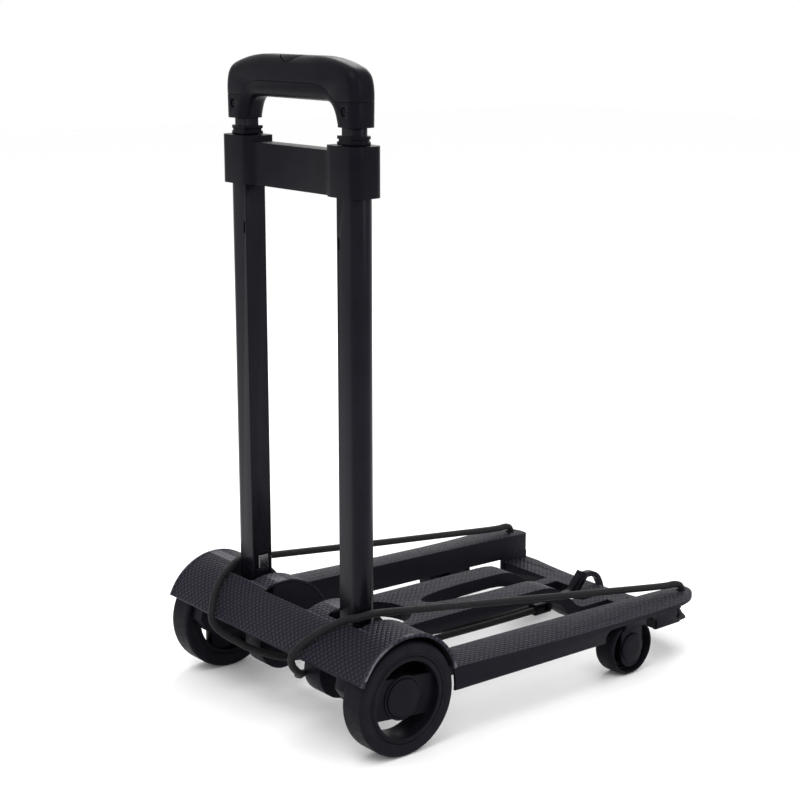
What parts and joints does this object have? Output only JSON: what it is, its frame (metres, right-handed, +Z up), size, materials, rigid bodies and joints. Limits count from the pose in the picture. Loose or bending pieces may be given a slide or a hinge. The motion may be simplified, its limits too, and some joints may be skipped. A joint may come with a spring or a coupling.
{
  "type": "folding luggage cart",
  "caption": "Folding luggage cart with a small wheeled platform, a fold-down telescopic handle and an elastic cord that hooks over the platform's front bar.",
  "frame": {"origin": "on the floor, at the middle of the cart's footprint between the rear fender edge and the rail tips", "axes": "+Z up, +Y forwards from the handle to the small wheels, +X to the cart's right"},
  "size_m": [0.28, 0.4215, 0.5523],
  "materials": {
    "textured_plastic": "black polypropylene with a fine diamond texture on its top faces",
    "satin_plastic": "smooth satin black moulded plastic",
    "tyre": "smooth solid black rubber",
    "black_tube": "satin black painted steel tube",
    "steel": "bright zinc plated steel",
    "elastic_cord": "braided black elastic cord"
  },
  "bodies": {
    "base": {"base_frame": "textured_plastic", "fender_cover": "textured_plastic", "rear_axle": "steel", "front_axle_right": "steel", "front_axle_left": "steel", "front_axle_cap_right": "satin_plastic", "front_axle_cap_left": "satin_plastic", "bungee_right": "elastic_cord", "bungee_left": "elastic_cord", "bungee_knot_right": "elastic_cord", "bungee_knot_left": "elastic_cord", "bungee_ferrule": "satin_plastic", "bungee_hook": "satin_plastic"},
    "handle_frame": {"outer_tube_right": "black_tube", "outer_tube_left": "black_tube", "tube_foot_right": "satin_plastic", "tube_foot_left": "satin_plastic", "latch_spring_right": "steel", "latch_spring_left": "steel", "bridge": "satin_plastic"},
    "middle_stage": {"middle_tube_right": "black_tube", "middle_tube_left": "black_tube", "collar_right": "satin_plastic", "collar_left": "satin_plastic"},
    "grip_stage": {"inner_tube_right": "black_tube", "inner_tube_left": "black_tube", "grip_upper_shell": "satin_plastic", "grip_lower_shell": "satin_plastic", "grip_screw_right": "steel", "grip_screw_left": "steel", "button_spring": "steel"},
    "button": {"release_button": "satin_plastic", "release_bar": "steel", "release_rod_right": "steel", "release_rod_left": "steel"},
    "latch_right": {"fold_latch_right": "steel"},
    "latch_left": {"fold_latch_left": "steel"},
    "rear_wheel_right": {"rear_tyre_right": "tyre", "rear_rim_right": "satin_plastic", "hub_cap_right": "satin_plastic"},
    "rear_wheel_left": {"rear_tyre_left": "tyre", "rear_rim_left": "satin_plastic", "hub_cap_left": "satin_plastic"},
    "front_wheel_right": {"front_tyre_right": "tyre", "front_hub_right": "satin_plastic"},
    "front_wheel_left": {"front_tyre_left": "tyre", "front_hub_left": "satin_plastic"}
  },
  "joints": [
    {"name": "handle_fold", "type": "hinge", "parent": "base", "child": "handle_frame", "pos_m": [0, -0.1584, 0.0482], "axis": [-1, 0, 0], "range_deg": [0, 90]},
    {"name": "middle_slide", "type": "slide", "parent": "handle_frame", "child": "middle_stage", "axis": [0, 0, 1], "range_m": [0, 0.23]},
    {"name": "grip_slide", "type": "slide", "parent": "middle_stage", "child": "grip_stage", "axis": [0, 0, 1], "range_m": [0, 0.23]},
    {"name": "button_press", "type": "slide", "parent": "grip_stage", "child": "button", "axis": [0, 0, -1], "range_m": [0, 0.003], "stiffness_N_per_m": 900, "springref_m": -0.002, "deforming": ["button_spring"]},
    {"name": "latch_press_right", "type": "slide", "parent": "handle_frame", "child": "latch_right", "axis": [1, 0, 0], "range_m": [0, 0.0024], "stiffness_N_per_m": 600, "springref_m": -0.002},
    {"name": "latch_press_left", "type": "slide", "parent": "handle_frame", "child": "latch_left", "axis": [-1, 0, 0], "range_m": [0, 0.0024], "stiffness_N_per_m": 600, "springref_m": -0.002},
    {"name": "rear_wheel_spin_right", "type": "hinge", "parent": "base", "child": "rear_wheel_right", "pos_m": [0, -0.1584, 0.0482], "axis": [1, 0, 0], "continuous": true},
    {"name": "rear_wheel_spin_left", "type": "hinge", "parent": "base", "child": "rear_wheel_left", "pos_m": [0, -0.1584, 0.0482], "axis": [1, 0, 0], "continuous": true},
    {"name": "front_wheel_spin_right", "type": "hinge", "parent": "base", "child": "front_wheel_right", "pos_m": [0, 0.1076, 0.0263], "axis": [1, 0, 0], "continuous": true},
    {"name": "front_wheel_spin_left", "type": "hinge", "parent": "base", "child": "front_wheel_left", "pos_m": [0, 0.1076, 0.0263], "axis": [1, 0, 0], "continuous": true}
  ]
}
